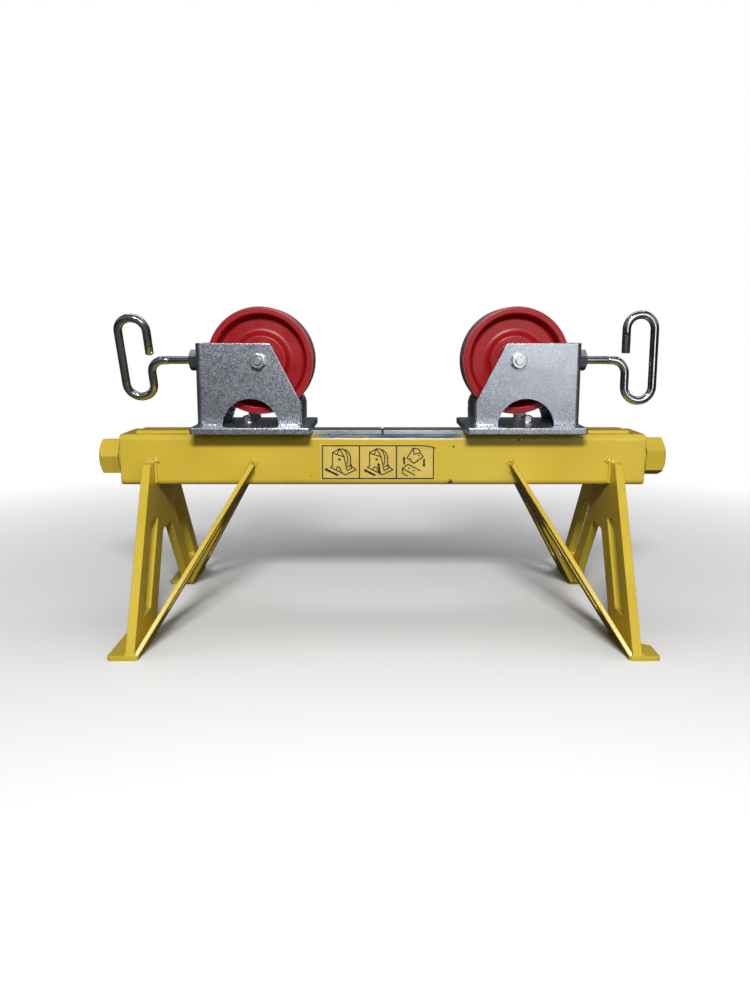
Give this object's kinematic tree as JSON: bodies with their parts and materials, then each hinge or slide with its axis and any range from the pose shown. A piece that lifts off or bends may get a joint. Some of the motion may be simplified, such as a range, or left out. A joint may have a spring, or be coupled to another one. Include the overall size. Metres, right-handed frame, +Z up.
{
  "type": "roller trestle",
  "caption": "Low steel trestle with slotted A-frame legs and a beam carrying red roller wheels in sliding plated carriages, each with a loop-handled screw brake.",
  "frame": {"origin": "on the floor under the middle of the beam", "axes": "+X along the beam to the right-hand carriage, +Y to the rear, +Z up"},
  "size_m": [0.682, 0.392, 0.3695],
  "materials": {
    "yellow_paint": "gloss",
    "label_film": "satin",
    "zinc_sheet": "spangled zinc",
    "zinc_fastener": "bright zinc",
    "bright_rod": "bright plated",
    "red_tread": "semi-gloss",
    "bearing_steel": "ground",
    "bearing_cage": "matt",
    "spacer_plastic": "matt"
  },
  "bodies": {
    "stand": {"beam_tube": "yellow_paint", "instruction_label": "label_film", "left_rail": "yellow_paint", "left_end_plate": "yellow_paint", "left_end_washer": "yellow_paint", "left_end_bolt": "yellow_paint", "left_end_nut": "zinc_fastener", "left_a_frame": "yellow_paint", "left_brace": "yellow_paint", "front_left_foot": "yellow_paint", "rear_left_foot": "yellow_paint", "right_rail": "yellow_paint", "right_end_plate": "yellow_paint", "right_end_washer": "yellow_paint", "right_end_bolt": "yellow_paint", "right_end_nut": "zinc_fastener", "right_a_frame": "yellow_paint", "right_brace": "yellow_paint", "front_right_foot": "yellow_paint", "rear_right_foot": "yellow_paint"},
    "left_carriage": {"left_base_plate": "zinc_sheet", "left_wheel_housing": "zinc_sheet", "left_cross_plate": "zinc_sheet", "left_rear_lug": "zinc_sheet", "left_retaining_studs": "zinc_fastener", "left_stud_washers": "zinc_fastener", "left_stud_nuts": "zinc_fastener", "left_axle_sleeve": "bearing_steel", "left_hub_spacers": "spacer_plastic", "left_axle_bolt": "zinc_fastener", "left_axle_nut": "zinc_fastener", "left_brake_boss": "zinc_fastener"},
    "left_wheel_body": {"left_wheel": "red_tread"},
    "left_cage_body": {"left_roller_cage": "bearing_cage", "left_bearing_rollers": "bearing_steel"},
    "left_brake_pad_body": {"left_brake_pad": "zinc_fastener"},
    "left_brake_screw_body": {"left_brake_screw": "bright_rod"},
    "right_carriage": {"right_base_plate": "zinc_sheet", "right_wheel_housing": "zinc_sheet", "right_cross_plate": "zinc_sheet", "right_rear_lug": "zinc_sheet", "right_retaining_studs": "zinc_fastener", "right_stud_washers": "zinc_fastener", "right_stud_nuts": "zinc_fastener", "right_axle_sleeve": "bearing_steel", "right_hub_spacers": "spacer_plastic", "right_axle_bolt": "zinc_fastener", "right_axle_nut": "zinc_fastener", "right_brake_boss": "zinc_fastener"},
    "right_wheel_body": {"right_wheel": "red_tread"},
    "right_cage_body": {"right_roller_cage": "bearing_cage", "right_bearing_rollers": "bearing_steel"},
    "right_brake_pad_body": {"right_brake_pad": "zinc_fastener"},
    "right_brake_screw_body": {"right_brake_screw": "bright_rod"}
  },
  "joints": [
    {"name": "left_carriage_slide", "type": "slide", "parent": "stand", "child": "left_carriage", "axis": [-1, 0, 0], "range_m": [0, 0.013]},
    {"name": "left_wheel_spin", "type": "hinge", "parent": "left_carriage", "child": "left_wheel_body", "pos_m": [-0.144, 0, 0.307], "axis": [0, 1, 0], "continuous": true},
    {"name": "left_cage_spin", "type": "hinge", "parent": "left_carriage", "child": "left_cage_body", "pos_m": [-0.144, 0, 0.307], "axis": [0, 1, 0], "continuous": true},
    {"name": "left_brake_feed", "type": "slide", "parent": "left_carriage", "child": "left_brake_pad_body", "axis": [1, 0, 0], "range_m": [-0.00205, 0.00225]},
    {"name": "left_brake_turn", "type": "hinge", "parent": "left_brake_pad_body", "child": "left_brake_screw_body", "pos_m": [-0.219, 0, 0.307], "axis": [1, 0, 0], "range_deg": [-480, 528]},
    {"name": "right_carriage_slide", "type": "slide", "parent": "stand", "child": "right_carriage", "axis": [1, 0, 0], "range_m": [-0.013, 0]},
    {"name": "right_wheel_spin", "type": "hinge", "parent": "right_carriage", "child": "right_wheel_body", "pos_m": [0.157, 0, 0.307], "axis": [0, 1, 0], "continuous": true},
    {"name": "right_cage_spin", "type": "hinge", "parent": "right_carriage", "child": "right_cage_body", "pos_m": [0.157, 0, 0.307], "axis": [0, 1, 0], "continuous": true},
    {"name": "right_brake_feed", "type": "slide", "parent": "right_carriage", "child": "right_brake_pad_body", "axis": [-1, 0, 0], "range_m": [-0.00205, 0.00225]},
    {"name": "right_brake_turn", "type": "hinge", "parent": "right_brake_pad_body", "child": "right_brake_screw_body", "pos_m": [0.232, 0, 0.307], "axis": [-1, 0, 0], "range_deg": [-480, 528]}
  ],
  "couplings": [
    {"joint": "left_cage_spin", "follows": "left_wheel_spin", "ratio": 0.61905},
    {"joint": "left_brake_feed", "follows": "left_brake_turn", "m_per_rad": 0.00023873},
    {"joint": "right_cage_spin", "follows": "right_wheel_spin", "ratio": 0.61905},
    {"joint": "right_brake_feed", "follows": "right_brake_turn", "m_per_rad": 0.00023873}
  ]
}
